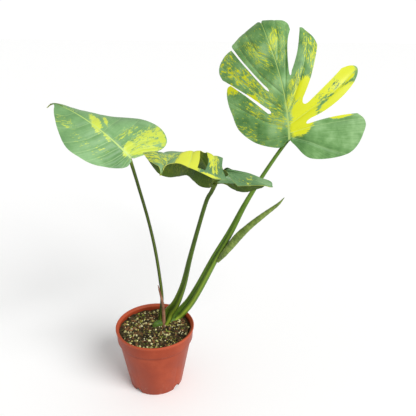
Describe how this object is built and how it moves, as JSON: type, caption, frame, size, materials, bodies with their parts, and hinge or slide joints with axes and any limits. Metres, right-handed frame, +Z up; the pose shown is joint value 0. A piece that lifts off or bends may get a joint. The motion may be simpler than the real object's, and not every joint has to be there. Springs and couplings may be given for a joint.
{
  "type": "potted monstera plant",
  "caption": "Variegated monstera in a round tapered nursery pot, with split leaves on long bare stalks and a new leaf still rolled up.",
  "frame": {"origin": "centre of the boss under the pot's floor, on the ground", "axes": "+Z up along the pot's axis, -Y towards the side from which the right-hand leaf shows its upper face, +X towards that leaf"},
  "size_m": [0.4552, 0.2536, 0.5416],
  "materials": {
    "pot_plastic": "satin",
    "potting_mix": "matte",
    "stalk": "satin",
    "leaf": "satin",
    "new_leaf": "satin",
    "dry_husk": "matte",
    "perlite": "matte",
    "bark": "matte"
  },
  "bodies": {
    "root": {"pot": "pot_plastic", "soil": "potting_mix", "stem": "stalk", "petiole_left": "stalk", "petiole_middle": "stalk", "petiole_right": "stalk", "leaf_left": "leaf", "leaf_middle": "leaf", "leaf_right": "leaf", "new_leaf": "new_leaf", "dry_sheath": "dry_husk", "perlite_1": "perlite", "perlite_2": "perlite", "perlite_3": "perlite", "perlite_4": "perlite", "perlite_5": "perlite", "perlite_6": "perlite", "perlite_7": "perlite", "perlite_8": "perlite", "perlite_9": "perlite", "perlite_10": "perlite", "perlite_11": "perlite", "perlite_12": "perlite", "bark_chip_1": "bark", "bark_chip_2": "bark", "bark_chip_3": "bark", "bark_chip_4": "bark", "bark_chip_5": "bark", "bark_chip_6": "bark"}
  },
  "joints": []
}
